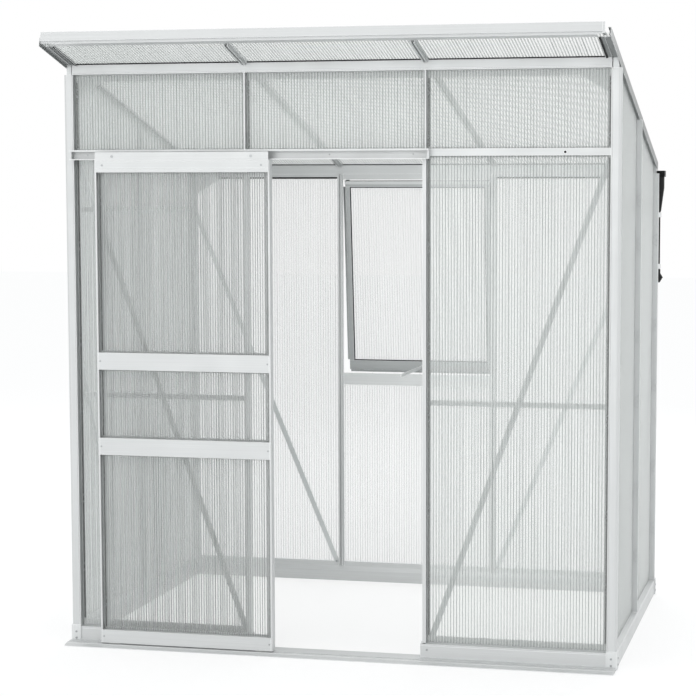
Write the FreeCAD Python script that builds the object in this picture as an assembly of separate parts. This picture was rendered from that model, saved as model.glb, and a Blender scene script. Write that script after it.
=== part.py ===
import FreeCAD, Part
import math
import os

from FreeCAD import Placement, Rotation, Vector

# Pent-roof greenhouse with a sliding door and a top-hung window. All sizes are in millimetres.
# X runs along the front wall, +Y runs towards the low back wall and +Z is up.
# The origin is on the ground, in the middle of the front wall's outer plane.

# Overall
half_width = 968.0
depth = 1300.0
roof_height = 2029.0
roof_fall = 0.26
bay = 630.0

# Aluminium section that every upright and rail shares
metal = 1.6
sheet = 6.0
sheet_recess = 20.0
seal = 1.0
seal_width = 6.0
bead_width = 5.0
bead_depth = 2.5
bead_side = 1.0
flange_half = 12.5
channel_half = 7.0
channel_depth = 9.4
channel_lip = 3.0
fit = 0.5

# Corner posts
post_radius = 9.0
post_lip_gap = 1.8
post_arm = 46.0
front_post_drop = 34.0
back_post_drop = 28.0

# Base
base_height = 60.0
base_depth = 34.0
base_inner_height = 43.0
ledge_fall = 4.0
upstand_height = 20.0
score_height = 50.0
cover_proud = 4.0
cover_height = 62.0
cover_radius = 10.0
cover_wall = 3.0
cover_screw = 17.0
threshold_height = 10.0
ramp_reach = 75.0
kick_lap = 17.0

# Sheets
rib_spacing = 78.0
skin = 0.8
sheet_gap = 1.5

# Cross rails and braces
transom_depth = 18.0
header_bottom = 1711.0
header_height = 24.0
header_hole_inset = 184.0
flange_overlap = 6.0
beam_depth = 34.0
beam_inset = 31.0
beam_lip = 24.0
beam_bead = 1.0
front_mid_rail_z = 880.0
end_rail_drop = 133.0
rail_height = 18.0
rail_depth = 9.0
brace_width = 20.0
brace_thick = 2.0
brace_side = 19.0
brace_foot = 20.0
brace_head = 22.0
brace_lap = 5.0
end_brace_top = 1030.0
end_brace_reach = 210.0
gusset_width = 110.0
gusset_height = 90.0
gusset_nose = 22.0

# Clips and screws
clip_height = 45.0
clip_levels = (268.0, 514.0, 834.0, 1070.0, 1404.0)
upper_clip_rises = (29.0, 197.0)
end_clip_rise = 30.0
clip_gap = 0.4
nut_radius = 5.0
nut_height = 4.0
screw_radius = 4.0
screw_height = 1.6

# Door and its track
door_face = -45.0
door_open = 527.5
door_side = 1.5
door_bottom = 13.0
door_head = 11.0
stile_lip = 5.5
stile_back = 34.0
stile_box = 16.0
stile_flange = 24.0
lower_mid_rail = 679.0
upper_mid_rail = 977.0
mid_rail_height = 59.0
bottom_rail_height = 46.0
hanger_drop = 42.0
hanger_rise = 27.0
hanger_thick = 2.5
hanger_rib = 0.8
hanger_rib_drops = (30.0, 58.0)
hanger_rib_foot = 6.0
hanger_rib_crest = 4.0
track_drop = 10.0
track_reach = 29.0
track_end = 28.0
track_lap = 17.0
track_ledge = 1.2
hood_reach = 30.0
hood_lip = 6.0
bead_rise = 3.0
tread_radius = 8.0
wheel_flange = 1.6
wheel_width = 7.0
wheel_lift = 0.3
axle_radius = 2.0
running_fit = 0.05
roller_line = -25.0
roller_inset = 64.5
guide_line = -35.5
guide_slot = 7.0
guide_thick = 4.0
guide_length = 40.0
guide_foot = 5.5
guide_inset = 43.5

# Window
window_open = 5.4
hinge_inset = 8.0
hinge_drop = 23.0
window_head = 14.0
sash_gap = 9.0
sash_side = 18.0
sash_height = 768.0
sash_rail = 19.0
sash_bottom_height = 38.0
sash_outer = 4.0
sash_inner = 22.0
sash_lip = 12.0
pane_grip = 8.0
pane_play = 0.3
sill_gap = 17.0
sill_height = 30.0
sill_rise = 12.0
lug_thick = 4.0
lug_play = 0.5
hinge_radius = 2.5
lug_radius = 6.0
lug_inset = 23.0
stay_x = 10.0
stay_length = 384.0
stay_height = 12.0
stay_thick = 3.0
stay_rise = 17.0
stay_reach = 10.0
stay_play = 0.6
ear_thick = 2.5
peg_radius = 2.5
peg_hole = 3.2
peg_spacing = 75.0
far_peg = 187.0

# Roof
roof_front = 232.0
roof_back = 1363.0
rake_inset = 8.0
rake_below = 10.6
rake_above = 20.0
rake_flange = 44.0
rake_cap = 10.0
rake_lip = 6.0
fascia_step = 32.0
fascia_top = 38.0
fascia_lip = 7.0
fascia_grip = 26.0
bracket_width = 8.0
fascia_end = 28.0
foam_width = 30.0

# Rainwater
gutter_depth = 52.0
gutter_drop = 11.0
gutter_height = 38.0
gutter_back_height = 27.0
gutter_radius = 14.0
gutter_inset = 12.0
outlet_inset = 38.0
outlet_height = 22.0
pipe_inset = 8.0
pipe_line = 26.0
pipe_radius = 11.0
pipe_wall = 1.5
hopper_radius = 25.0
hopper_drop = 45.0
hopper_height = 138.0
pipe_length = 242.0
pipe_lap = 30.0
shoe_lap = 16.0
shoe_drop = 36.0
plastic = 2.0
clip_band = 19.0

# Sizes that follow from the ones above
half_bay = bay / 2
cover_size = base_depth
flange = sheet_recess + sheet + seal
flange_back = flange + metal
bar_depth = flange_back + channel_depth
lip_web = flange_back + post_lip_gap
sheet_edge = lip_web + metal + 2.0
bar_edge = bead_width / 2
inner_half = half_width - post_arm - fit
kick_reach = half_bay - kick_lap
roof_angle = math.atan(roof_fall)
steepness = 1 / math.cos(roof_angle)
front_post_top = roof_height - front_post_drop
back_post_top = roof_height - roof_fall * depth - back_post_drop
end_rail_z = back_post_top - end_rail_drop
header_top = header_bottom + header_height
header_middle = header_bottom + header_height / 2
beam_half = half_width - beam_inset
door_half = half_bay - door_side
door_centre = -door_open
door_top = header_bottom - door_head
mid_rails = [(level, level + mid_rail_height) for level in (lower_mid_rail, upper_mid_rail)]
bottom_rail_top = door_bottom + bottom_rail_height
hanger_bottom = door_top - hanger_drop
hanger_top = door_top + hanger_rise
track_bottom = header_bottom - track_drop
track_left = track_end - half_width
track_right = half_bay + track_lap
bead_top = track_bottom + bead_rise
axle_height = bead_top + tread_radius + wheel_lift
roller_offset = door_half - roller_inset
guide_offset = door_half - guide_inset
hinge_height = back_post_top - hinge_drop
header_underside = back_post_top - window_head
sash_half = half_bay - sash_side
sash_top = hinge_height - sash_gap
sash_bottom = sash_top - sash_height
sash_middle = (sash_outer + sash_inner) / 2
lug_place = half_bay - lug_inset
lug_pitch = (lug_thick + lug_play) + 2.0
sill_top = sash_bottom - sill_gap
sill_bottom = sill_top - sill_height
sill_middle = sill_top - sill_height / 2
sill_upstand = sill_top + sill_rise
stay_pivot_z = sash_bottom + stay_rise
rake_half = half_width - rake_inset
fascia_left = rake_half - 3.0
fascia_right = rake_half - fascia_end
gutter_bottom = back_post_top - gutter_drop
gutter_lip = gutter_bottom + gutter_height
gutter_back = gutter_bottom + gutter_back_height
outlet_top = gutter_bottom + outlet_height
gutter_left = half_width - gutter_inset
gutter_right = half_width - outlet_inset
pipe_x = half_width - pipe_inset
pipe_y = depth + pipe_line
hopper_bottom = gutter_bottom - hopper_height
pipe_bottom = hopper_bottom - pipe_length

along_x = Vector(1, 0, 0)
along_y = Vector(0, 1, 0)
along_z = Vector(0, 0, 1)
nowhere = Vector(0, 0, 0)

walls = {
    "front": Placement(nowhere, Rotation(along_z, 0)),
    "back": Placement(Vector(0, depth, 0), Rotation(along_z, 180)),
    "right": Placement(Vector(half_width, 0, 0), Rotation(along_z, 90)),
    "door": Placement(Vector(door_centre, door_face, 0), Rotation(along_z, 0)),
}
roof = Placement(Vector(0, 0, roof_height), Rotation(along_x, -math.degrees(roof_angle)))
sash_swing = Placement(
    nowhere, Rotation(along_x, window_open), Vector(0, depth - hinge_inset, hinge_height)
)


# Tools for making and placing shapes

def placed(shape, placement):
    copy = shape.copy()
    copy.Placement = placement.multiply(copy.Placement)
    return copy


def moved(shape, x=0.0, y=0.0, z=0.0):
    return placed(shape, Placement(Vector(x, y, z), Rotation()))


def prism(points, length, holes=()):
    body = outline_face(points).extrude(Vector(0, 0, length))
    if holes:
        hollows = [outline_face(hole).extrude(Vector(0, 0, length)) for hole in holes]
        body = body.cut(hollows)
    return body.Solids[0]


def outline_face(points):
    corners = [Vector(u, v, 0) for u, v in points]
    return Part.Face(Part.makePolygon(corners + corners[:1]))


def rectangle(u0, u1, v0, v1):
    return [(u0, v0), (u1, v0), (u1, v1), (u0, v1)]


def mirrored(half):
    return half + [(-u, v) for u, v in reversed(half)]


def fused(first, *others):
    return first.fuse(list(others)).removeSplitter().Solids[0]


def box(x0, x1, y0, y1, z0, z1):
    return Part.makeBox(x1 - x0, y1 - y0, z1 - z0, Vector(x0, y0, z0))


def mirror_x(shape):
    return shape.mirror(nowhere, along_x)


def mirror_y(shape):
    return shape.mirror(Vector(0, depth / 2, 0), along_y)


def both_sides(shape):
    return [shape, mirror_x(shape)]


def upright(points, z0, z1, a=0.0, holes=()):
    # A section drawn along and into the wall, stood up from z0 to z1.
    return moved(prism(points, z1 - z0, holes), a, 0, z0)


def lengthwise(points, a0, a1, holes=()):
    # A section drawn into the wall and up, run along the wall from a0 to a1.
    shape = prism(points, a1 - a0, holes)
    return placed(shape, Placement(Vector(a0, 0, 0), Rotation(Vector(1, 1, 1), 120)))


def down_slope(points, s0, s1, rise=0.0, holes=()):
    # A section drawn across the roof and down from its outer tip, run down the slope.
    shape = prism(points, s1 - s0, holes)
    turned = placed(shape, Placement(Vector(0, s0, rise), Rotation(along_x, -90)))
    return placed(turned, roof)


def across_roof(points, x0, x1, holes=()):
    return placed(lengthwise(points, x0, x1, holes), roof)


def roof_box(x0, x1, s0, s1, n0, n1):
    return placed(box(x0, x1, s0, s1, n0, n1), roof)


def roof_z(y, lift=0.0):
    return roof_height - roof_fall * y + lift * steepness


def disc(radius, length, centre, direction=along_x):
    return Part.makeCylinder(radius, length, centre, direction)


def hexagon(radius, height, centre, direction):
    corners = [
        Vector(radius * math.cos(math.radians(60 * i)), radius * math.sin(math.radians(60 * i)), 0)
        for i in range(7)
    ]
    nut = Part.Face(Part.makePolygon(corners)).extrude(Vector(0, 0, height))
    return placed(nut, Placement(centre, Rotation(along_z, direction)))


def free_spans(start, stop, bars):
    # The stretches of a wall between the flanges of its glazing bars.
    edges = [start]
    for bar in bars:
        edges += [bar - flange_half - fit, bar + flange_half + fit]
    edges.append(stop)
    return list(zip(edges[0::2], edges[1::2]))


def on_wall(name, shape):
    return placed(shape, walls[name])


# Sections

def bar_section(tip_to_flange):
    # Glazing bar: tip bead, web, flange behind the sheets and a bolt channel behind that.
    back = tip_to_flange + metal
    end = back + channel_depth
    return mirrored([
        (bead_width / 2, 0),
        (bead_width / 2, bead_depth),
        (metal / 2, bead_depth),
        (metal / 2, tip_to_flange),
        (flange_half, tip_to_flange),
        (flange_half, back),
        (channel_half, back),
        (channel_half, end),
        (channel_lip, end),
        (channel_lip, end - metal),
        (channel_half - metal, end - metal),
        (channel_half - metal, back),
    ])


def jamb_section():
    # Glazing bar with a hollow box on its doorway side, drawn for the right jamb.
    box_side = 10.0
    outside = [
        (-box_side, 0),
        (bead_width / 2, 0),
        (bead_width / 2, bead_depth),
        (metal / 2, bead_depth),
        (metal / 2, flange),
        (flange_half, flange),
        (flange_half, flange_back),
        (channel_half, flange_back),
        (channel_half, bar_depth),
        (channel_lip, bar_depth),
        (channel_lip, bar_depth - metal),
        (channel_half - metal, bar_depth - metal),
        (channel_half - metal, flange_back),
        (metal - channel_half, flange_back),
        (metal - channel_half, bar_depth - metal),
        (-channel_lip, bar_depth - metal),
        (-channel_lip, bar_depth),
        (-channel_half, bar_depth),
        (-channel_half, flange_back),
        (-box_side, flange_back),
    ]
    return outside, [rectangle(metal - box_side, -metal / 2, metal, flange)]


def post_solid(z0, z1):
    # Rounded square tube with a glazing arm along each of its two walls.
    arm = [
        (flange_back, 0),
        (flange_back, flange),
        (lip_web, flange),
        (lip_web, bead_depth),
        (lip_web - bead_side, bead_depth),
        (lip_web - bead_side, 0),
        (lip_web + metal + bead_side, 0),
        (lip_web + metal + bead_side, bead_depth),
        (lip_web + metal, bead_depth),
        (lip_web + metal, flange),
        (post_arm, flange),
        (post_arm, flange_back),
        (flange_back, flange_back),
    ]
    points = [(0, 0)] + arm + [(v, u) for u, v in reversed(arm[:-1])]
    tube = prism(points, z1 - z0)
    hollow = prism(rectangle(metal, flange, metal, flange), z1 - z0)
    tube = rounded_upright(tube, 0, 0, post_radius)
    hollow = rounded_upright(hollow, metal, metal, post_radius - metal)
    return moved(tube.cut(hollow).Solids[0], 0, 0, z0)


def rounded_upright(shape, x, y, radius):
    edges = [
        edge for edge in shape.Edges
        if all(abs(v.X - x) < 0.01 and abs(v.Y - y) < 0.01 for v in edge.Vertexes)
    ]
    return shape.makeFillet(radius, edges)


def base_section(bottom):
    # Hollow rail with a sloping ledge outside and a score line below it.
    outside = [
        (0, bottom),
        (base_depth, bottom),
        (base_depth, base_inner_height),
        (flange_back, base_height),
        (sheet_recess, base_height),
        (0, base_height - ledge_fall),
        (0, score_height + 0.8),
        (metal / 2, score_height),
        (0, score_height - 0.8),
    ]
    inside = [
        (2 * metal, bottom + metal),
        (base_depth - metal, bottom + metal),
        (base_depth - metal, base_inner_height - metal),
        (flange, base_height - 2 * metal),
        (2 * metal, base_height - ledge_fall - metal),
    ]
    return outside, [inside]


def transom_section(z0, z1, web_z):
    # Hollow box in front of the sheets with a web that runs back between them.
    outside = [
        (0, z0),
        (transom_depth, z0),
        (transom_depth, web_z - metal / 2),
        (flange, web_z - metal / 2),
        (flange, web_z + metal / 2),
        (transom_depth, web_z + metal / 2),
        (transom_depth, z1),
        (0, z1),
    ]
    return outside, [rectangle(metal, transom_depth - metal, z0 + metal, z1 - metal)]


def flange_strips(spans, z0, z1):
    return [box(a0, a1, flange, flange_back, z0, z1) for a0, a1 in spans]


def transom(a0, a1, z0, z1, spans, below=flange_overlap):
    outside, holes = transom_section(z0, z1, (z0 + z1) / 2)
    strips = flange_strips(spans, z0 - below, z1 + flange_overlap)
    return fused(lengthwise(outside, a0, a1, holes), *strips)


def twin_wall(width, height):
    # Hollow sheet: two skins joined by ribs that run with the flutes.
    cells = max(1, round(width / rib_spacing))
    pitch = (width - skin) / cells
    hollows = [
        rectangle(skin + i * pitch, (i + 1) * pitch, skin, sheet - skin) for i in range(cells)
    ]
    return prism(rectangle(0, width, 0, sheet), height, hollows)


def wall_sheet(a0, a1, z0, z1):
    return moved(twin_wall(a1 - a0, z1 - z0), a0, sheet_recess, z0)


def strap(start, end):
    # Flat brace with clipped corners, lying against the flanges from one end bolt to the other.
    (a0, z0), (a1, z1) = start, end
    length = math.hypot(a1 - a0, z1 - z0)
    half = brace_width / 2
    snip = half / 2
    bar = upright_plate([
        (-half, -snip),
        (-snip, -half),
        (length + snip, -half),
        (length + half, -snip),
        (length + half, snip),
        (length + snip, half),
        (-snip, half),
        (-half, snip),
    ], brace_thick)
    turn = Rotation(along_y, -math.degrees(math.atan2(z1 - z0, a1 - a0)))
    return placed(bar, Placement(Vector(a0, flange_back, z0), turn))


def upright_plate(points, thick):
    # A plate drawn along the wall and up, standing from the wall line inwards.
    shape = prism(points, thick)
    return placed(shape, Placement(Vector(0, thick, 0), Rotation(along_x, 90)))


# Base

def front_threshold():
    slot_front = guide_line - guide_slot / 2
    slot_back = guide_line + guide_slot / 2
    slot_floor = 4.0
    groove = -56.0
    outside = [
        (-ramp_reach, 0),
        (base_depth, 0),
        (base_depth, threshold_height),
        (slot_back, threshold_height),
        (slot_back, slot_floor),
        (slot_front, slot_floor),
        (slot_front, threshold_height),
        (groove + 1, threshold_height - 1),
        (groove, threshold_height - 2.5),
        (groove - 1, threshold_height - 1.5),
        (-ramp_reach, 2),
    ]
    holes = [
        rectangle(slot_back + metal, base_depth - metal, metal, threshold_height - metal),
        rectangle(groove + 2, slot_front - metal, metal, threshold_height - 2 * metal),
    ]
    body = lengthwise(outside, -half_width, half_width, holes)
    inner = half_width - cover_size
    corner = box(inner, half_width + 1, -cover_proud, base_depth + 1, -1, threshold_height + 1)
    return [body.cut(both_sides(corner)).Solids[0]]


def side_rail(half_length, middle, bars):
    outside, holes = base_section(0)
    rail = lengthwise(outside, middle - half_length, middle + half_length, holes)
    reach = half_length + cover_size - post_arm - fit
    spans = free_spans(middle - reach, middle + reach, bars)
    upstands = flange_strips(spans, base_height, base_height + upstand_height)
    return fused(rail, *upstands)


def base_rail_back():
    rail = side_rail(half_width - cover_size, 0, (-half_bay, half_bay))
    return [on_wall("back", rail)]


def base_rails_side():
    rail = side_rail(depth / 2 - cover_size, depth / 2, (depth / 2,))
    return both_sides(on_wall("right", rail))


def kick_rails():
    outside, holes = base_section(threshold_height)
    rail = lengthwise(outside, kick_reach, half_width - cover_size, holes)
    start = half_bay + flange_half + fit
    upstand = flange_strips([(start, inner_half)], base_height, base_height + upstand_height)
    return both_sides(fused(rail, *upstand))


def base_corner_covers():
    low = -cover_proud
    wall = cover_wall
    body = box(low, cover_size, low, cover_size, 0, cover_height)
    body = rounded_upright(body, low, low, cover_radius)
    rim = [
        edge for edge in body.Edges
        if all(abs(v.Z - cover_height) < 0.01 for v in edge.Vertexes)
        and all(v.X < cover_size - 0.01 or v.Y < cover_size - 0.01 for v in edge.Vertexes)
        and min(edge.CenterOfMass.x, edge.CenterOfMass.y) < 0
    ]
    body = body.makeChamfer(2.0, rim)
    pocket = box(low + wall, cover_size - wall, low + wall, cover_size - wall, -1, cover_height - wall)
    return four_corners(body.cut(pocket).Solids[0])


def four_corners(shape):
    front = moved(shape, -half_width)
    return both_sides(front) + both_sides(mirror_y(front))


# Uprights

def corner_posts_front():
    return both_sides(moved(post_solid(cover_height, front_post_top), -half_width))


def corner_posts_back():
    return both_sides(mirror_y(moved(post_solid(cover_height, back_post_top), -half_width)))


def upper_bars():
    bar = upright(bar_section(flange), header_top, front_post_top, half_bay)
    return both_sides(bar)


def door_jambs():
    outside, holes = jamb_section()
    jamb = upright(outside, base_height, header_bottom, half_bay, holes)
    return both_sides(jamb)


def back_bars():
    bar = upright(bar_section(flange), base_height, back_post_top, half_bay)
    return [on_wall("back", shape) for shape in both_sides(bar)]


def end_bars():
    bar = on_wall("right", upright(bar_section(flange), base_height, roof_height, depth / 2))
    above = roof_box(0, 2 * half_width, 0, roof_back, -rake_below, 2 * roof_height)
    return both_sides(bar.cut(above).Solids[0])


# Cross pieces

def header_rail():
    spans = free_spans(-inner_half, inner_half, (-half_bay, half_bay))
    reach = half_width - lip_web - metal - bead_side
    rail = transom(-reach, reach, header_bottom, header_top, spans)
    hole = disc(3.0, transom_depth, Vector(half_width - header_hole_inset, -1, header_middle), along_y)
    return [rail.cut(hole).Solids[0]]


def door_track():
    # Back plate, rain hood and a ledge with the bead that the rollers run on.
    low = track_bottom + track_ledge
    high = header_top - metal
    section = [
        (0, track_bottom),
        (0, header_top),
        (-hood_reach, header_top),
        (-hood_reach, header_top - hood_lip),
        (metal - hood_reach, header_top - hood_lip),
        (metal - hood_reach, high),
        (-metal, high),
        (-metal, low),
        (roller_line + metal / 2, low),
        (roller_line + metal / 2, bead_top),
        (roller_line - metal / 2, bead_top),
        (roller_line - metal / 2, low),
        (-track_reach, low),
        (-track_reach, track_bottom),
    ]
    track = lengthwise(section, track_left, track_right)
    stop_width = 6.0
    stops = []
    for x in (track_left, track_right - stop_width):
        stop = box(x, x + stop_width, stop_width - track_reach, -metal, low, high)
        stops.append(stop.cut(track).Solids[0])
    return [track] + stops


def eave_beam(wall, floor, top_at, spans, lip, bead):
    # Hollow beam whose top follows the roof, with a lip behind the sheets and a bead in front.
    bead_height = 4.0
    outside = [
        (-bead, floor),
        (-bead, floor + bead_height),
        (0, floor + bead_height + bead),
        (0, top_at(0)),
        (beam_depth, top_at(beam_depth)),
        (beam_depth, floor),
    ]
    inside = [
        (metal, floor + metal),
        (metal, top_at(metal) - 2 * metal),
        (beam_depth - metal, top_at(beam_depth - metal) - 2 * metal),
        (beam_depth - metal, floor + metal),
    ]
    body = lengthwise(outside, -beam_half, beam_half, [inside])
    return on_wall(wall, fused(body, *flange_strips(spans, floor - lip, floor)))


def front_top(b):
    # Height of the roof members' underside, b inside the front wall's outer plane.
    return roof_z(b, -metal)


def back_top(b):
    return roof_z(depth - b, -metal)


def eave_beam_front():
    spans = free_spans(-inner_half, inner_half, (-half_bay, half_bay))
    return [eave_beam("front", front_post_top, front_top, spans, beam_lip, beam_bead)]


def eave_beam_back():
    spans = free_spans(-inner_half, inner_half, (-half_bay, half_bay))
    return [eave_beam("back", back_post_top, back_top, [spans[0], spans[2]], beam_lip / 2, 0.0)]


def channel_rail(a0, a1, b0, z):
    # Shallow channel, open towards the inside.
    low = z - rail_height / 2
    high = z + rail_height / 2
    reach = b0 + rail_depth
    return lengthwise([
        (b0, low),
        (reach, low),
        (reach, low + metal),
        (b0 + metal, low + metal),
        (b0 + metal, high - metal),
        (reach, high - metal),
        (reach, high),
        (b0, high),
    ], a0, a1)


def front_mid_rails():
    start = half_bay + channel_half
    end = half_width - flange_back
    return both_sides(channel_rail(start, end, flange_back + brace_thick, front_mid_rail_z))


def end_mid_rails():
    rail = channel_rail(flange_back, depth - flange_back, bar_depth, end_rail_z)
    return both_sides(on_wall("right", rail))


def brace_ends(top):
    # End bolts of a brace that crosses the bay beside a corner post.
    foot = (half_bay + brace_side, base_height + brace_foot)
    head = (inner_half + brace_lap, top - brace_head)
    return foot, head


def end_brace_ends():
    # End bolts of the brace in the front half of an end wall.
    foot = (depth / 2 - end_brace_reach, base_height + brace_foot)
    head = (flange_back + brace_width / 2 + brace_thick, end_brace_top)
    return foot, head


def front_braces():
    return both_sides(strap(*brace_ends(header_bottom)))


def back_braces():
    brace = strap(*brace_ends(end_rail_z - rail_height / 2))
    return [on_wall("back", shape) for shape in both_sides(brace)]


def end_braces():
    front = on_wall("right", strap(*end_brace_ends()))
    return both_sides(front) + both_sides(mirror_y(front))


def corner_gussets():
    front = gusset("front", front_post_top, front_top)
    back = gusset("back", back_post_top, back_top)
    return both_sides(front) + both_sides(back)


def gusset(wall, top, top_at):
    # A block on the post's head that carries the rake, and a three-cornered plate behind the wall.
    inner = beam_half + 3
    outer = rake_half - 3
    edge = half_width - flange_back
    block = lengthwise([
        (metal, top),
        (flange_back, top),
        (flange_back, top_at(flange_back)),
        (metal, top_at(metal)),
    ], inner, outer)
    plate = upright_plate([
        (edge, top),
        (edge - gusset_width, top),
        (edge - gusset_width, top - gusset_nose),
        (edge, top - gusset_height),
    ], metal)
    plate = moved(plate, 0, flange_back)
    upper = box(inner, outer, flange_back, flange_back + metal, top, top + gusset_nose / 2)
    corner = box(edge - metal, inner + metal, flange_back, flange_back + metal, top, top + metal)
    return on_wall(wall, fused(block, upper, corner, plate))


# Roof

def roof_rakes():
    # Side trim: outer wall, flange under the sheets and two lips that hold the seal.
    inner_lip = rake_flange / 2
    section = [
        (0, -rake_above),
        (rake_cap, -rake_above),
        (rake_cap, metal - rake_above),
        (metal, metal - rake_above),
        (metal, 0),
        (rake_flange, 0),
        (rake_flange, rake_lip),
        (rake_flange - metal, rake_lip),
        (rake_flange - metal, metal),
        (inner_lip + metal, metal),
        (inner_lip + metal, rake_lip),
        (inner_lip, rake_lip),
        (inner_lip, metal),
        (metal, metal),
        (metal, rake_below),
        (0, rake_below),
    ]
    left = [(u - rake_half, v) for u, v in section]
    rake = down_slope(left, -roof_front, roof_back)
    cutters = beam_cutters(metal - rake_half, rake_flange - rake_half + 1)
    front = roof_box(metal - rake_half, 0, -roof_front - 1, fascia_step - roof_front, -rake_below, 0.01)
    return both_sides(rake.cut(cutters + [front]).Solids[0])


def rake_seals():
    # Rubber in the groove beside each rake's inner lip.
    outer = rake_flange - metal - rake_half
    section = rectangle(outer - seal_width, outer, metal, rake_lip - seal)
    strip = down_slope(section, fascia_step - roof_front, roof_back)
    strips = []
    for part in strip.cut(beam_cutters(-rake_half, outer + metal)).Solids:
        strips += both_sides(part)
    return strips


def beam_cutters(x0, x1):
    # Room for the two eave beams and the gussets under a roof member.
    drop = rake_below + metal
    slack = drop * math.sin(roof_angle) + fit
    cuts = []
    for y0, y1 in ((-fit, beam_depth), (depth - beam_depth, depth + fit)):
        low = (y0 - beam_bead) * steepness
        high = (y1 + slack) * steepness
        cuts.append(roof_box(x0, x1, low, high, -drop, -metal))
    return cuts


def roof_bars():
    top = sheet_recess
    bar = down_slope(bar_section(top), fascia_step - roof_front, roof_back, top)
    bar = moved(bar, half_bay)
    cutters = beam_cutters(half_bay - bay / 10, half_bay + bay / 10)
    return both_sides(bar.cut(cutters).Solids[0])


def roof_fascia():
    # Front edging: it grips the sheets' front edge and stands up as a rain board.
    front = -roof_front - 2
    back = front + 6
    over = sheet + 0.4
    under = -0.4
    section = [
        (front, over),
        (front, fascia_top),
        (front + fascia_lip, fascia_top),
        (front + fascia_lip, fascia_top - metal),
        (front + metal, fascia_top - metal),
        (front + metal, over + metal),
        (back + fascia_grip / 2, over + metal),
        (back + fascia_grip / 2, over),
        (back + metal, over),
        (back + metal, under),
        (back + fascia_grip, under),
        (back + fascia_grip, under - metal),
        (back, under - metal),
        (back, over),
    ]
    board = across_roof(section, -fascia_left, fascia_right)
    start = rake_half - rake_flange
    ends = both_sides(roof_box(start, rake_half, front - 4, 0, -5, 0.0))
    board = board.cut(ends).Solids[0]
    near = fascia_right + fit
    far = near + bracket_width
    bracket = roof_box(near, far, front, front + metal, 0, fascia_top)
    foot = roof_box(near, far, front, front + fascia_top, sheet, sheet + metal)
    return [board, fused(bracket, foot)]


def roof_sheet(x0, x1):
    # Flutes run down the slope.
    start = 6 - roof_front
    flat = twin_wall(x1 - x0, roof_back - start)
    turned = placed(flat, Placement(Vector(x0, start, sheet), Rotation(along_x, -90)))
    return placed(turned, roof)


def roof_panels():
    outer = roof_sheet(half_bay + bar_edge, rake_half - metal - 2 * sheet_gap)
    middle = roof_sheet(-half_bay + bar_edge, half_bay - bar_edge)
    return both_sides(outer) + [middle]


def eave_flute_seals():
    # Foam strips that close the flutes over the front and the back beam.
    inner = rake_half - rake_flange - fit
    back = depth * steepness
    strips = []
    for x0, x1 in free_spans(-inner, inner, (-half_bay, half_bay)):
        strips.append(roof_box(x0, x1, -foam_width / 3, foam_width * 2 / 3, -metal, 0))
        strips.append(roof_box(x0, x1, back - foam_width, back, -metal, 0))
    return strips


# Glazing

def front_upper_panels():
    low = header_middle + metal / 2 + sheet_gap
    high = front_post_top - sheet_gap
    side = wall_sheet(half_bay + bar_edge, half_width - sheet_edge, low, high)
    middle = wall_sheet(-half_bay + bar_edge, half_bay - bar_edge, low, high)
    return both_sides(side) + [middle]


def front_panel_right():
    high = header_middle - metal / 2 - sheet_gap
    return [wall_sheet(half_bay + bar_edge, half_width - sheet_edge, base_height, high)]


def front_panel_left():
    return [mirror_x(front_panel_right()[0])]


def back_panels():
    high = back_post_top - sheet_gap
    panel = wall_sheet(half_bay + bar_edge, half_width - sheet_edge, base_height, high)
    return [on_wall("back", shape) for shape in both_sides(panel)]


def back_panel_under_window():
    high = sill_middle - metal / 2 - sheet_gap
    return [on_wall("back", wall_sheet(bar_edge - half_bay, half_bay - bar_edge, base_height, high))]


def end_panels():
    spans = (
        (sheet_edge, depth / 2 - bar_edge),
        (depth / 2 + bar_edge, depth - sheet_edge),
    )
    above = roof_box(0, 2 * half_width, -roof_front, roof_back, -2 * metal, 2 * roof_height)
    panels = []
    for y0, y1 in spans:
        panel = on_wall("right", wall_sheet(y0, y1, base_height, roof_height))
        panels += both_sides(panel.cut(above).Solids[0])
    return panels


def seal_pair(a0, a1, z0, z1):
    # Rubber strips on the two flanges behind one sheet.
    b0 = sheet_recess + sheet
    edge = 2.0
    left = box(a0 + edge, a0 + edge + seal_width, b0, flange, z0 + edge, z1 - edge)
    right = box(a1 - edge - seal_width, a1 - edge, b0, flange, z0 + edge, z1 - edge)
    return [left, right]


def glazing_seals():
    near = half_bay + bar_edge
    far = half_width - sheet_edge
    low = base_height + upstand_height
    head = header_bottom - flange_overlap
    upper = header_top + flange_overlap
    eave = front_post_top - beam_lip
    strips = []
    for shape in seal_pair(near, far, low, head) + seal_pair(near, far, upper, eave):
        strips += both_sides(shape)
    strips += seal_pair(-near + 2 * bar_edge, near - 2 * bar_edge, upper, eave)
    for shape in seal_pair(near, far, low, back_post_top - beam_lip / 2):
        strips += [on_wall("back", side) for side in both_sides(shape)]
    under_sill = sill_bottom - flange_overlap
    for shape in seal_pair(-near + 2 * bar_edge, near - 2 * bar_edge, low, under_sill):
        strips.append(on_wall("back", shape))
    middle = depth / 2
    for y0, y1 in ((sheet_edge, middle - bar_edge), (middle + bar_edge, depth - sheet_edge)):
        for shape in seal_pair(y0, y1, low, roof_z(y1, -rake_below)):
            strips += both_sides(on_wall("right", shape))
    return strips


def clip(side):
    # Sprung strip that presses a sheet's edge from under the tip bead.
    start = metal / 2 + clip_gap
    under = bead_depth + clip_gap
    reach = sheet_recess * 0.6
    points = [
        (start, under),
        (start + 2, under),
        (start + reach, sheet_recess - 2),
        (start + reach, sheet_recess),
        (start + reach / 2, sheet_recess),
    ]
    return [(u * side, v) for u, v in points]


def clips_at(wall, a, side, levels, top):
    # One clip at each level that its sheet reaches, on the side of a bar that the sheet is on.
    clips = []
    for z in levels:
        if z + clip_height / 2 < top:
            clips.append(on_wall(wall, upright(clip(side), z - clip_height / 2, z + clip_height / 2, a)))
    return clips


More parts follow.
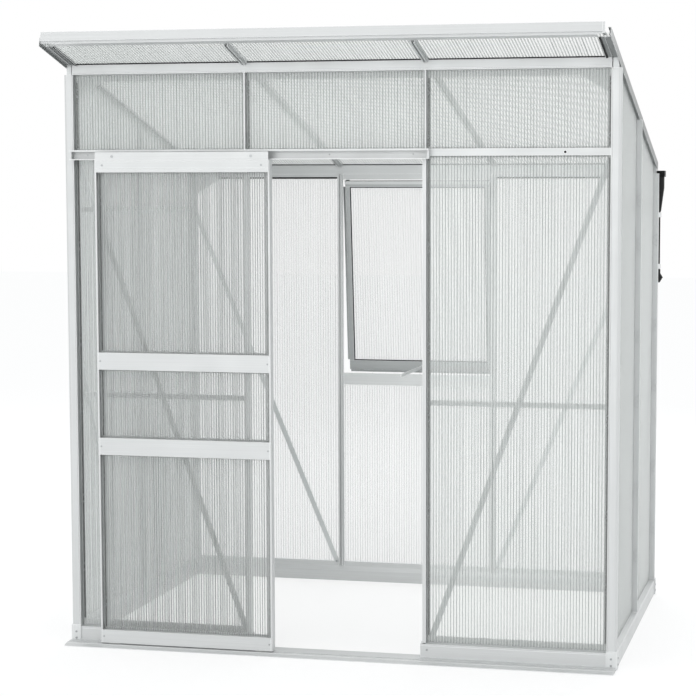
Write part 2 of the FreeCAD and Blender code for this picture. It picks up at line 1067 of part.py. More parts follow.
def glazing_clips():
    upper_levels = tuple(header_top + rise for rise in upper_clip_rises)
    front_levels = clip_levels + upper_levels
    end_levels = clip_levels + (end_rail_z + end_clip_rise,)
    front = front_post_top - beam_lip
    back = back_post_top - beam_lip / 2
    middle = roof_z(depth / 2 + bar_edge, -rake_below)
    post = half_width - lip_web - metal / 2
    clips = []
    for sign in (-1, 1):
        clips += clips_at("front", sign * half_bay, sign, front_levels, front)
        clips += clips_at("front", sign * half_bay, -sign, upper_levels, front)
        clips += clips_at("front", sign * post, -sign, front_levels, front)
        clips += clips_at("back", sign * half_bay, sign, clip_levels, back)
        clips += clips_at("back", sign * half_bay, -sign, clip_levels[:2], sill_bottom)
        clips += clips_at("back", sign * post, -sign, clip_levels, back)
    front_post = lip_web + metal / 2
    ends = clips_at("right", depth / 2, 1, end_levels, middle)
    ends += clips_at("right", depth / 2, -1, end_levels, middle)
    ends += clips_at("right", front_post, 1, end_levels + upper_levels[:1], front)
    ends += clips_at("right", depth - front_post, -1, clip_levels, back)
    for shape in ends:
        clips += both_sides(shape)
    return clips


def nut(wall, a, z):
    # Flanged nut on the inner end of a brace's bolt.
    place = Vector(a, flange_back + brace_thick, z)
    return on_wall(wall, hexagon(nut_radius, nut_height, place, along_y))


def screw(a, b, z, radius=screw_radius):
    # Head that stands on a front face.
    return hexagon(radius, screw_height, Vector(a, b, z), -along_y)


def frame_bolts():
    bolts = []
    for a, z in brace_ends(header_bottom):
        bolts += both_sides(nut("front", a, z))
    for a, z in brace_ends(end_rail_z - rail_height / 2):
        bolts += both_sides(nut("back", a, z))
    for a, z in end_brace_ends():
        shape = nut("right", a, z)
        bolts += both_sides(shape) + both_sides(mirror_y(shape))
    for z in (base_height / 4, base_height * 5 / 8):
        front = screw(cover_screw, -cover_proud, z)
        side = hexagon(screw_radius, screw_height, Vector(-cover_proud, cover_screw, z), -along_x)
        bolts += four_corners(front) + four_corners(side)
    bolts += both_sides(screw(half_bay + sheet, 0, base_height * 0.6))
    spacing = (track_right - track_left) / 4.4
    for i in range(5):
        x = track_left + spacing * (i + 0.2)
        bolts.append(screw(x, -metal, track_bottom + track_reach / 2 + metal, 3.0))
    return bolts


# Rainwater

def gutter():
    # Open trough hung on the back eave, with a rolled front lip.
    wall = metal
    outer = box(-gutter_right, gutter_left, 0, gutter_depth, gutter_bottom, gutter_lip)
    outer = rounded_along(outer, gutter_depth, gutter_bottom, gutter_radius)
    inner = box(-half_width, half_width, wall, gutter_depth - wall, gutter_bottom + wall, roof_height)
    inner = rounded_along(inner, gutter_depth - wall, gutter_bottom + wall, gutter_radius - wall)
    low_back = box(-half_width, half_width, -1, wall + 0.1, gutter_back, roof_height)
    trough = outer.cut([inner, low_back])
    front = gutter_depth - wall
    lip = box(-gutter_right, gutter_left, front - hood_lip, front, gutter_lip - wall, gutter_lip)
    return [mirror_x(moved(fused(trough, lip), 0, depth))]


def rounded_along(shape, y, z, radius):
    edges = [
        edge for edge in shape.Edges
        if all(abs(v.Y - y) < 0.01 and abs(v.Z - z) < 0.01 for v in edge.Vertexes)
    ]
    return shape.makeFillet(radius, edges)


def turned(profile, x, y):
    # A ring-shaped solid about an upright axis, from radius and height pairs.
    corners = [Vector(r, 0, z) for r, z in profile]
    face = Part.Face(Part.makePolygon(corners + corners[:1]))
    return moved(face.revolve(nowhere, along_z, 360).Solids[0], x, y)


def gutter_fittings():
    # Cap on the gutter's left end, and a box with a tapering hopper on its right end.
    cap = box(-gutter_left - cover_wall, -gutter_left, 0, gutter_depth, gutter_bottom, outlet_top)
    cap = rounded_along(cap, gutter_depth, gutter_bottom, gutter_radius)
    right = pipe_x + hopper_radius + cover_wall
    back = gutter_depth - plastic
    top = gutter_bottom - plastic
    body = box(gutter_right, right, 1, gutter_depth, top, outlet_top)
    trough = box(gutter_right - 1, right - plastic, 1 + plastic, back, gutter_bottom, roof_height)
    hole = disc(hopper_radius - plastic, 2 * hopper_drop, Vector(pipe_x, pipe_line, top - 1), along_z)
    body = moved(body.cut([trough, hole]).Solids[0], 0, depth)
    taper_top = gutter_bottom - hopper_drop
    hopper = turned([
        (hopper_radius, top),
        (hopper_radius, taper_top),
        (pipe_radius + plastic, hopper_bottom),
        (pipe_radius, hopper_bottom),
        (pipe_radius, taper_top),
        (hopper_radius - plastic, taper_top),
        (hopper_radius - plastic, top),
    ], pipe_x, pipe_y)
    return [moved(cap, 0, depth), fused(body, hopper)]


def downpipe():
    # Pipe under the hopper, with a flared shoe on its lower end.
    outer = pipe_radius - fit / 2
    pipe = turned([
        (outer, pipe_bottom),
        (outer, hopper_bottom + pipe_lap),
        (outer - pipe_wall, hopper_bottom + pipe_lap),
        (outer - pipe_wall, pipe_bottom),
    ], pipe_x, pipe_y)
    flare = pipe_bottom - shoe_lap
    shoe = turned([
        (pipe_radius + plastic, pipe_bottom + shoe_lap),
        (pipe_radius + plastic, pipe_bottom),
        (hopper_radius - plastic, flare),
        (pipe_radius, pipe_bottom - shoe_drop),
        (outer - pipe_wall, pipe_bottom - shoe_drop),
        (outer - pipe_wall, pipe_bottom),
        (pipe_radius, pipe_bottom),
        (pipe_radius, pipe_bottom + shoe_lap),
    ], pipe_x, pipe_y)
    return [pipe, shoe]


def downpipe_clips():
    # A ring round the pipe with a foot on the back wall.
    inner = pipe_radius
    outer = inner + 4
    clips = []
    for z0 in (pipe_bottom + shoe_lap + plastic, hopper_bottom - clip_band - 3):
        z1 = z0 + clip_band
        ring = turned([(inner, z0), (outer, z0), (outer, z1), (inner, z1)], pipe_x, pipe_y)
        foot = box(pipe_x - outer, pipe_x + pipe_inset - 2, depth, pipe_y - inner, z0, z1)
        stem = foot.cut(disc(inner, clip_band, Vector(pipe_x, pipe_y, z0), along_z))
        clips.append(fused(ring, stem.Solids[0]))
    return clips


# Window

def hinge_lug(a, below, reach_z):
    # Rounded ear about the hinge axis, joined to its rail above or below.
    low, high = (reach_z, hinge_height) if below else (hinge_height, reach_z)
    half = lug_thick / 2
    ear = box(a - half, a + half, hinge_inset - lug_radius, hinge_inset + lug_radius, low, high)
    knuckle = disc(lug_radius, lug_thick, Vector(a - half, hinge_inset, hinge_height))
    bore = disc(hinge_radius + running_fit, lug_thick, Vector(a - half, hinge_inset, hinge_height))
    return fused(ear, knuckle).cut(bore).Solids[0]


def window_header():
    reach = half_bay - bar_edge
    middle = (header_underside + back_post_top) / 2
    outside, holes = transom_section(header_underside, back_post_top, middle)
    body = lengthwise(outside, -reach, reach, holes)
    inner = half_bay - flange_half - fit
    strip = box(-inner, inner, flange, flange_back, hinge_height, back_post_top)
    drip = box(-reach, reach, 0, metal, header_underside - fascia_lip, header_underside)
    lugs = [hinge_lug(a, False, header_underside) for a in (-lug_place, lug_place)]
    return [on_wall("back", fused(body, strip, drip, *lugs))]


def window_sill():
    reach = half_bay - bar_edge
    inner = half_bay - flange_half - fit
    outside, holes = transom_section(sill_bottom, sill_top, sill_middle)
    body = lengthwise(outside, -reach, reach, holes)
    strip = box(-inner, inner, flange, flange_back, sill_bottom - flange_overlap, sill_upstand)
    peg_y = transom_depth * 2 / 3
    pegs = [disc(peg_radius, sill_rise, Vector(a, peg_y, sill_top), along_z) for a in (-stay_x, far_peg)]
    return [on_wall("back", fused(body, strip, *pegs))]


def in_sash(shape):
    return placed(on_wall("back", shape), sash_swing)


def sash_groove(edge, opening):
    # Sash section from its outer edge to the groove that holds the pane.
    mouth_low = sash_middle - sheet / 2 - pane_play
    mouth_high = sash_middle + sheet / 2 + pane_play
    floor = opening - pane_grip if opening > edge else opening + pane_grip
    return [
        (edge, sash_outer),
        (opening, sash_outer),
        (opening, mouth_low),
        (floor, mouth_low),
        (floor, mouth_high),
        (opening, mouth_high),
        (opening, sash_inner),
        (edge, sash_inner),
    ]


def sash_hollow(edge, opening):
    inward = metal if opening > edge else -metal
    floor = opening - pane_grip if opening > edge else opening + pane_grip
    return rectangle(edge + inward, floor - inward, sash_outer + metal, sash_inner - metal)


def swapped(points):
    return [(v, u) for u, v in points]


def sash_top_rail():
    sides = (sash_top, sash_top - sash_rail)
    hole = swapped(sash_hollow(*sides))
    rail = lengthwise(swapped(sash_groove(*sides)), -sash_half, sash_half, [hole])
    lugs = [hinge_lug(a, True, sash_top) for a in (lug_pitch - lug_place, lug_place - lug_pitch)]
    return [in_sash(fused(rail, *lugs))]


def sash_bottom_rail():
    sides = (sash_bottom, sash_bottom + sash_bottom_height)
    hole = swapped(sash_hollow(*sides))
    rail = lengthwise(swapped(sash_groove(*sides)), -sash_half, sash_half, [hole])
    low = sash_bottom - sash_lip
    drip = box(-sash_half, sash_half, sash_outer, sash_outer + metal, low, sash_bottom)
    ears = []
    half = stay_thick / 2 + stay_play
    tip = sash_inner + stay_reach
    z0, z1 = stay_pivot_z - lug_radius, stay_pivot_z + lug_radius
    for a0 in (-stay_x - half - ear_thick, -stay_x + half):
        ear = box(a0, a0 + ear_thick, sash_inner, tip, z0, z1)
        knuckle = disc(lug_radius, ear_thick, Vector(a0, tip, stay_pivot_z))
        bore = disc(axle_radius + running_fit, ear_thick, Vector(a0, tip, stay_pivot_z))
        ears.append(fused(ear, knuckle).cut(bore).Solids[0])
    return [in_sash(fused(rail, drip, *ears))]


def sash_stiles():
    section = sash_groove(sash_half, sash_half - sash_rail) + [
        (sash_half, sash_outer + metal),
        (sash_half + sash_lip, sash_outer + metal),
        (sash_half + sash_lip, sash_outer),
    ]
    hole = sash_hollow(sash_half, sash_half - sash_rail)
    stile = upright(section, sash_bottom + sash_bottom_height, sash_top - sash_rail, 0, [hole])
    return [in_sash(shape) for shape in both_sides(stile)]


def sash_pane():
    grip = pane_grip - 1
    edge = sash_half - sash_rail + grip
    low = sash_bottom + sash_bottom_height - grip
    high = sash_top - sash_rail + grip
    pane = moved(twin_wall(2 * edge, high - low), -edge, sash_middle - sheet / 2, low)
    return [in_sash(pane)]


def window_pins():
    # Hinge pins through each pair of lugs, and the pin that the stay turns on.
    length = 2 * lug_pitch + 1
    middle = lug_place - lug_pitch / 2
    pins = []
    for a in (-middle, middle):
        pins.append(disc(hinge_radius, length, Vector(a - length / 2, hinge_inset, hinge_height)))
    half = stay_thick / 2 + stay_play + ear_thick + 1
    pivot = Vector(-stay_x - half, sash_inner + stay_reach, stay_pivot_z)
    pins.append(disc(axle_radius, 2 * half, pivot))
    return [in_sash(shape) for shape in pins]


def stay_pivot():
    closed = Vector(stay_x, depth - sash_inner - stay_reach, stay_pivot_z)
    return sash_swing.multVec(closed)


def stay_arm():
    # Flat arm with a row of peg holes, level at rest and reaching in over the sill.
    half = stay_height / 2
    side = -stay_thick / 2
    bar = box(side, -side, -stay_length, 0, -half, half)
    ends = [disc(half, stay_thick, Vector(side, y, 0)) for y in (0, -stay_length)]
    holes = [disc(axle_radius + running_fit, stay_thick, Vector(side, 0, 0))]
    holes += [disc(peg_hole, stay_thick, Vector(side, -peg_spacing * i, 0)) for i in range(1, 5)]
    arm = fused(bar, *ends).cut(holes).Solids[0]
    place = stay_pivot()
    return [moved(arm, place.x, place.y, place.z)]


# Door, drawn about its own middle with depth measured back from its face

def door_hanger():
    # Ribbed plate that hangs on the rollers, in one section with the door's top rail.
    z0 = hanger_bottom + 2
    z1 = door_top - 2
    face = -hanger_thick
    plate = [(0, hanger_bottom), (0, hanger_top), (face, hanger_top)]
    crest = face - hanger_rib
    foot, top = hanger_rib_foot / 2, hanger_rib_crest / 2
    for drop in hanger_rib_drops:
        z = hanger_top - drop
        plate += [(face, z + foot), (crest, z + top), (crest, z - top), (face, z - foot)]
    plate.append((face, hanger_bottom))
    width = door_half - stile_lip - fit
    outside, holes = transom_section(z0, z1, (z0 + z1) / 2)
    inner = door_half - stile_flange - fit
    strip = flange_strips([(-inner, inner)], z0 - flange_overlap, z1)
    rail = lengthwise(outside, -width, width, holes)
    body = fused(rail, lengthwise(plate, -width - 3, width + 3), *strip)
    bores = []
    for a in (-roller_offset, roller_offset):
        place = Vector(a, -sheet, axle_height)
        bores.append(disc(axle_radius + running_fit, 2 * sheet, place, along_y))
    return [on_wall("door", body.cut(bores).Solids[0])]


def door_stiles():
    section = [
        (0, 0),
        (stile_lip, 0),
        (stile_lip, bead_depth),
        (metal, bead_depth),
        (metal, flange),
        (stile_flange, flange),
        (stile_flange, flange_back),
        (stile_box, flange_back),
        (stile_box, stile_back),
        (0, stile_back),
    ]
    hole = rectangle(metal, stile_box - metal, flange_back, stile_back - metal)
    stile = upright(section, door_bottom, door_top, -door_half, [hole])
    return [on_wall("door", shape) for shape in both_sides(stile)]


def door_transom(z0, z1, below=flange_overlap):
    inner = door_half - stile_flange - fit
    reach = door_half - stile_lip
    return on_wall("door", transom(-reach, reach, z0, z1, [(-inner, inner)], below))


def door_mid_rails():
    return [door_transom(z0, z1) for z0, z1 in mid_rails]


def door_bottom_rail():
    return [door_transom(door_bottom, bottom_rail_top, 0.0)]


def door_panes():
    middles = [(door_bottom + bottom_rail_top) / 2]
    middles += [(z0 + z1) / 2 for z0, z1 in mid_rails]
    middles.append((hanger_bottom + door_top) / 2)
    edge = door_half - metal - sheet_gap
    gap = metal / 2 + sheet_gap
    panes = []
    for low, high in zip(middles[:-1], middles[1:]):
        panes.append(on_wall("door", wall_sheet(-edge, edge, low + gap, high - gap)))
    return panes


def door_seals():
    edge = door_half - metal - sheet_gap
    levels = [bottom_rail_top] + [z for pair in mid_rails for z in pair] + [hanger_bottom]
    strips = []
    for low, high in zip(levels[0::2], levels[1::2]):
        for shape in seal_pair(-edge, edge, low + flange_overlap - 2, high - flange_overlap + 2):
            strips.append(on_wall("door", shape))
    return strips


def door_guides():
    # Nylon tongues that run in the threshold's slot.
    y0 = guide_line - guide_thick / 2
    y1 = guide_line + guide_thick / 2
    guides = []
    for a in (-guide_offset, guide_offset):
        x0 = door_centre + a - guide_length / 2
        guides.append(box(x0, x0 + guide_length, y0, y1, guide_foot, door_bottom))
    return guides


def spun(profile, x, z):
    # A solid turned about the axle line, from radius and Y pairs.
    corners = [Vector(r, y, 0) for r, y in profile]
    face = Part.Face(Part.makePolygon(corners + corners[:1]))
    return moved(face.revolve(nowhere, along_y, 360).Solids[0], x, 0, z)


def roller(x):
    # Grooved wheel that rides on the track's bead.
    bore = axle_radius + running_fit
    rim = tread_radius + wheel_flange
    front = roller_line - wheel_width / 2
    back = roller_line + wheel_width / 2
    return spun([
        (bore, front),
        (rim, front),
        (rim, front + wheel_flange),
        (tread_radius, front + wheel_flange),
        (tread_radius, back - wheel_flange),
        (rim, back - wheel_flange),
        (rim, back),
        (bore, back),
    ], x, axle_height)


def door_roller_left():
    return [roller(door_centre - roller_offset)]


def door_roller_right():
    return [roller(door_centre + roller_offset)]


def axle_bolt(x):
    # Hexagon head on the hanger, collar in front of the wheel, shank through it and a nut behind.
    face = door_face - hanger_thick
    front = roller_line - wheel_width / 2 - clip_gap
    back = roller_line + wheel_width / 2 + clip_gap
    head = hexagon(nut_radius, 2.0, Vector(x, face, axle_height), -along_y)
    shank = disc(axle_radius, back - face, Vector(x, face, axle_height), along_y)
    collar = disc(axle_radius + screw_height, front - door_face, Vector(x, door_face, axle_height), along_y)
    nut_end = hexagon(screw_radius, cover_wall, Vector(x, back, axle_height), along_y)
    return fused(head, shank, collar, nut_end)


def door_bolts():
    # The rollers' axle bolts, and the screws at the rails' ends.
    face = door_face - hanger_thick
    bolts = [axle_bolt(door_centre + side) for side in (-roller_offset, roller_offset)]
    levels = [door_bottom + bottom_rail_height / 2] + [(z0 + z1) / 2 for z0, z1 in mid_rails]
    for sign in (-1, 1):
        x = door_centre + sign * (door_half - 28)
        bolts.append(screw(x, face, hanger_bottom + stile_flange))
        x = door_centre + sign * (door_half - stile_box / 2 - 3)
        bolts += [screw(x, door_face, z, 3.0) for z in levels]
    return bolts


def save(node, solids):
    shape = solids[0] if len(solids) == 1 else Part.makeCompound(solids)
    shape.exportStep("parts/" + node + ".step")
    print(node, len(solids), all(solid.isValid() for solid in solids))


makers = (
    front_threshold, base_rail_back, base_rails_side, kick_rails, base_corner_covers,
    corner_posts_front, corner_posts_back, upper_bars, door_jambs, back_bars, end_bars,
    header_rail, door_track, eave_beam_front, eave_beam_back, front_mid_rails, end_mid_rails,
    front_braces, back_braces, end_braces, corner_gussets,
    roof_rakes, rake_seals, roof_bars, roof_fascia, roof_panels, eave_flute_seals,
    front_upper_panels, front_panel_left, front_panel_right, back_panels,
    back_panel_under_window, end_panels, glazing_seals, glazing_clips, frame_bolts,
    gutter, gutter_fittings, downpipe, downpipe_clips,
    window_header, window_sill, sash_top_rail, sash_bottom_rail, sash_stiles, sash_pane,
    window_pins, stay_arm,
    door_hanger, door_stiles, door_mid_rails, door_bottom_rail, door_panes, door_seals, door_guides,
    door_roller_left, door_roller_right, door_bolts,
)

os.makedirs("parts", exist_ok=True)
for maker in makers:
    save(maker.__name__, maker())
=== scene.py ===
import math

import bpy
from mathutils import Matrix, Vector


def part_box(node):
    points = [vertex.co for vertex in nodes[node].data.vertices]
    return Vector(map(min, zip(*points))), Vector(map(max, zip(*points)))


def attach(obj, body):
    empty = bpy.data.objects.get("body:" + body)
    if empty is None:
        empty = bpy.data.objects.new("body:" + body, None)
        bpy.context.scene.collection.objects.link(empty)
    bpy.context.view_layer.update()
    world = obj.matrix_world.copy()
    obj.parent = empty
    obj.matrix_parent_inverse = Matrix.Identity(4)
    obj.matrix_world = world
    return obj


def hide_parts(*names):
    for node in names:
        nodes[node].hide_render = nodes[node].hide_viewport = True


# Pent-roof greenhouse: aluminium bars, fluted twin-wall sheets, a sliding door and a top-hung window.
# Lengths are in metres unless a name says millimetres.

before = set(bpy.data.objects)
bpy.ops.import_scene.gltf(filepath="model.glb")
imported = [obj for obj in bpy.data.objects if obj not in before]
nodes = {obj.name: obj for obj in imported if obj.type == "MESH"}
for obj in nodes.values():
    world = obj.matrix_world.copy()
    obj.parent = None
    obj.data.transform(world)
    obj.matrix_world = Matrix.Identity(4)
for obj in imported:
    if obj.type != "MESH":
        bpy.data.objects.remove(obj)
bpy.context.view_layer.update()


# Small tools

def linear(hexColour):
    # sRGB hex to the linear colour that a shader takes
    parts = [int(hexColour[i:i + 2], 16) / 255 for i in (1, 3, 5)]
    return [p / 12.92 if p <= 0.04045 else ((p + 0.055) / 1.055) ** 2.4 for p in parts] + [1.0]


def addNode(tree, kind, inputs=None, **settings):
    # adds one node, with its settings and what goes into its sockets
    node = tree.nodes.new(kind)
    for name, value in settings.items():
        setattr(node, name, value)
    for socket, value in (inputs or {}).items():
        if isinstance(value, bpy.types.NodeSocket):
            tree.links.new(value, node.inputs[socket])
        else:
            node.inputs[socket].default_value = value
    return node


def newMaterial(name):
    material = bpy.data.materials.new(name)
    material.use_nodes = True
    material.node_tree.nodes.clear()
    return material, material.node_tree


def closeMaterial(tree, surface):
    addNode(tree, "ShaderNodeOutputMaterial", {"Surface": surface})


def deselectAll():
    if bpy.context.mode != "OBJECT":
        bpy.ops.object.mode_set(mode="OBJECT")
    bpy.ops.object.select_all(action="DESELECT")


def selectOnly(*objects):
    deselectAll()
    for piece in objects:
        piece.select_set(True)
    bpy.context.view_layer.objects.active = objects[0]


def joinPieces(objects, name):
    selectOnly(*objects)
    if len(objects) > 1:
        bpy.ops.object.join()
    joined = bpy.context.view_layer.objects.active
    joined.name = name
    joined.data.name = name
    return joined


def applyPlace(piece):
    selectOnly(piece)
    bpy.ops.object.transform_apply(location=True, rotation=True, scale=True)


def applyModifiers(piece):
    selectOnly(piece)
    for modifier in list(piece.modifiers):
        bpy.ops.object.modifier_apply(modifier=modifier.name)


def boxOf(piece):
    places = [vertex.co for vertex in piece.data.vertices]
    low = Vector([min(place[i] for place in places) for i in range(3)])
    high = Vector([max(place[i] for place in places) for i in range(3)])
    return low, high


def addBlock(name, low, high):
    deselectAll()
    middle = [(a + b) / 2 for a, b in zip(low, high)]
    bpy.ops.mesh.primitive_cube_add(size=1, location=middle)
    block = bpy.context.object
    block.scale = [b - a for a, b in zip(low, high)]
    block.name = name
    applyPlace(block)
    return block


# Materials

noiseLow, noiseHigh = 0.3, 0.7  # nearly all values of a noise texture lie between these

aluminium = {
    "colour": "#d0d2d2",
    # the roof rakes' bar colour, darkened as painted shade for their shaded sides and undersides
    "rakeShadeColour": "#939696",
    # the window sash's bar colour, darkened as painted shade for a sash lit less inside the back wall
    "sashShadeColour": "#b4b7b7",
    "braceColour": "#cfd2d2",
    # the paler cover colour; on the end bars, the back corner posts and the stay arm it is painted light that
    # lifts them above the other bars
    "coverAndPaintedLightColour": "#dcdede",
    # the pale grey painted along every edge as a painted highlight
    "edgeHighlightColour": "#eeefef",
    "metallic": 0.4,  # the oxide skin scatters most of the light
    "smoothest": 0.37,
    "roughest": 0.49,
    "cloudsPerMetre": 9.0,
    "lineMillimetres": 2.4,  # real die lines are finer, but finer ones wouldn't show in the render
    "lineLengths": 160,  # how many times its own width a line is long
    "lineShade": 0.93,
    "lineRelief": 0.12,
    "lineDepthMillimetres": 0.4,
    # width of the painted edge highlight, and where it starts and is full
    "highlightMillimetres": 2.0,
    "highlightStarts": 0.99,
    "highlightFull": 0.9,
}


def extrudedAluminium(name, colour, along):
    # Mill-finish extruded aluminium: a soft silver sheen, faint die lines along the bar, and every edge
    # lightened as a painted highlight.
    material, tree = newMaterial(name)
    where = addNode(tree, "ShaderNodeTexCoord").outputs["Object"]
    linesPerMetre = 1000 / aluminium["lineMillimetres"]
    stretch = [linesPerMetre, linesPerMetre, linesPerMetre]
    for axis in along:
        stretch[axis] = linesPerMetre / aluminium["lineLengths"]
    mapped = addNode(tree, "ShaderNodeMapping", {"Vector": where, "Scale": stretch})
    lines = addNode(tree, "ShaderNodeTexNoise", {
        "Vector": mapped.outputs["Vector"],
        "Scale": 1.0,
        "Detail": 3.0,
    }).outputs["Fac"]
    clouds = addNode(tree, "ShaderNodeTexNoise", {
        "Vector": where,
        "Scale": aluminium["cloudsPerMetre"],
        "Detail": 2.0,
    }).outputs["Fac"]
    tone = addNode(tree, "ShaderNodeMapRange", {
        "Value": lines,
        "From Min": noiseLow,
        "From Max": noiseHigh,
    }).outputs["Result"]
    dark = [value * aluminium["lineShade"] for value in linear(colour)[:3]] + [1.0]
    paint = addNode(tree, "ShaderNodeMix", {
        "Factor": tone,
        "A": dark,
        "B": linear(colour),
    }, data_type="RGBA").outputs["Result"]
    # where the rounded normal leans away from the flat one there is an edge, and there the colour is
    # lightened towards a pale grey: a painted highlight
    rounded = addNode(tree, "ShaderNodeBevel", {"Radius": aluminium["highlightMillimetres"] / 1000}, samples=4)
    lean = addNode(tree, "ShaderNodeVectorMath", {
        0: rounded.outputs["Normal"],
        1: addNode(tree, "ShaderNodeNewGeometry").outputs["Normal"],
    }, operation="DOT_PRODUCT").outputs["Value"]
    edgeHighlight = addNode(tree, "ShaderNodeMapRange", {
        "Value": lean,
        "From Min": aluminium["highlightStarts"],
        "From Max": aluminium["highlightFull"],
    }).outputs["Result"]
    paint = addNode(tree, "ShaderNodeMix", {
        "Factor": edgeHighlight,
        "A": paint,
        "B": linear(aluminium["edgeHighlightColour"]),
    }, data_type="RGBA").outputs["Result"]
    roughness = addNode(tree, "ShaderNodeMapRange", {
        "Value": clouds,
        "From Min": noiseLow,
        "From Max": noiseHigh,
        "To Min": aluminium["smoothest"],
        "To Max": aluminium["roughest"],
    }).outputs["Result"]
    relief = addNode(tree, "ShaderNodeBump", {
        "Height": lines,
        "Strength": aluminium["lineRelief"],
        "Distance": aluminium["lineDepthMillimetres"] / 1000,
    }).outputs["Normal"]
    metal = addNode(tree, "ShaderNodeBsdfPrincipled", {
        "Base Color": paint,
        "Metallic": aluminium["metallic"],
        "Roughness": roughness,
        "Normal": relief,
    })
    closeMaterial(tree, metal.outputs["BSDF"])
    return material


sheet = {
    # each wall's sheet has its own colour, clearness, line and web colours, set to how light falls on that
    # wall and what lies behind it: painted light and shade on one and the same polycarbonate
    "kinds": {
        "front": {
            "colour": "#f4f7f5", "clear": 0.56, "fluteMillimetres": 10.25,
            "lineShadeColour": "#8b918f", "lineCover": 0.46, "webLightAndShadeColour": "#b8bebc",
        },
        "behind": {
            "colour": "#f8faf9", "clear": 0.76, "fluteMillimetres": 10.25,
            "lineShadeColour": "#979d9b", "lineCover": 0.3, "webLightAndShadeColour": "#e6e9e8",
        },
        "door": {
            "colour": "#fbfdfc", "clear": 0.79, "fluteMillimetres": 8.5,
            "lineShadeColour": "#6a706e", "lineCover": 1.0, "webLightAndShadeColour": "#a6acaa",
        },
        "back": {
            "colour": "#f2f2f2", "clear": 0.62, "fluteMillimetres": 10.25,
            "lineShadeColour": "#7f8583", "lineCover": 0.11, "webLightAndShadeColour": "#eceeee",
        },
        "end": {
            "colour": "#f4f6f5", "clear": 0.6, "fluteMillimetres": 10.25,
            "lineShadeColour": "#7f8583", "lineCover": 0.4, "webLightAndShadeColour": "#eceeed",
        },
        "roof": {
            "colour": "#f2f5f3", "clear": 0.7, "fluteMillimetres": 10.25,
            "lineShadeColour": "#7f8583", "lineCover": 0.8, "webLightAndShadeColour": "#d4d8d6",
        },
    },
    "skinRoughness": 0.28,
    "webRoughness": 0.35,
    "ior": 1.585,
    "lineStarts": -0.1,
    "lineFull": 0.9,
    "weakestLine": 0.5,
    "faintShare": 0.12,
    "streaksPerMetre": 90.0,
    "rippleRelief": 0.5,
    "rippleMillimetres": 0.4,
    "webMillimetres": 0.55,
    "skinMillimetres": 0.5,
}


def twinWallPolycarbonate(name, kind, across, lines=1.0):
    # Extruded twin-wall polycarbonate: a milky clear skin, drawn in a little over every web, with a darker
    # line painted over every web, partly the web seen through the skin and partly painted shade; this gives
    # the eye fine even lines and a broken view of what is behind.
    material, tree = newMaterial(name)
    where = addNode(tree, "ShaderNodeTexCoord").outputs["Object"]
    parts = addNode(tree, "ShaderNodeSeparateXYZ", {"Vector": where}).outputs
    turnsPerMetre = 2 * math.pi * 1000 / kind["fluteMillimetres"]
    turns = addNode(tree, "ShaderNodeMath", {0: parts[across], 1: turnsPerMetre}, operation="MULTIPLY")
    wave = addNode(tree, "ShaderNodeMath", {0: turns.outputs[0]}, operation="COSINE").outputs[0]
    line = addNode(tree, "ShaderNodeMapRange", {
        "Value": wave,
        "From Min": sheet["lineStarts"],
        "From Max": sheet["lineFull"],
    }).outputs["Result"]
    stretch = [1.0, 1.0, 1.0]
    stretch[across] = sheet["streaksPerMetre"]
    streaks = addNode(tree, "ShaderNodeMapping", {"Vector": where, "Scale": stretch})
    uneven = addNode(tree, "ShaderNodeTexNoise", {
        "Vector": streaks.outputs["Vector"],
        "Scale": 1.0,
        "Detail": 2.0,
    }).outputs["Fac"]
    strength = addNode(tree, "ShaderNodeMapRange", {
        "Value": uneven,
        "From Min": noiseLow,
        "From Max": noiseHigh,
        "To Min": sheet["weakestLine"] * lines,
        "To Max": lines,
    }).outputs["Result"]
    line = addNode(tree, "ShaderNodeMath", {0: line, 1: strength}, operation="MULTIPLY").outputs[0]
    paint = addNode(tree, "ShaderNodeMix", {
        "Factor": line,
        "A": linear(kind["colour"]),
        "B": linear(kind["lineShadeColour"]),
    }, data_type="RGBA").outputs["Result"]
    cover = 1 - math.sqrt(kind["clear"])  # each sheet is crossed through two skins
    opaque = addNode(tree, "ShaderNodeMapRange", {
        "Value": line,
        "To Min": cover,
        "To Max": cover + (1 - cover) * kind["lineCover"],
    }).outputs["Result"]
    relief = addNode(tree, "ShaderNodeBump", {
        "Height": wave,
        "Strength": sheet["rippleRelief"],
        "Distance": sheet["rippleMillimetres"] / 1000,
    }, invert=True).outputs["Normal"]
    plastic = addNode(tree, "ShaderNodeBsdfPrincipled", {
        "Base Color": paint,
        "Roughness": sheet["skinRoughness"],
        "IOR": sheet["ior"],
        "Alpha": opaque,
        "Normal": relief,
    })
    closeMaterial(tree, plastic.outputs["BSDF"])
    return material


def polycarbonateWeb(name, kind):
    # Extruded polycarbonate webs: thin threads from the front, and a closed wall when seen along it; each
    # wall's webs get their own flat colour, from grey to pale milky, set to how light reaches that wall:
    # painted shade and light.
    # They let no light through, because a render follows only a few clear surfaces one behind another.
    material, tree = newMaterial(name)
    plastic = addNode(tree, "ShaderNodeBsdfPrincipled", {
        "Base Color": linear(kind["webLightAndShadeColour"]),
        "Roughness": sheet["webRoughness"],
        "IOR": sheet["ior"],
    })
    closeMaterial(tree, plastic.outputs["BSDF"])
    return material


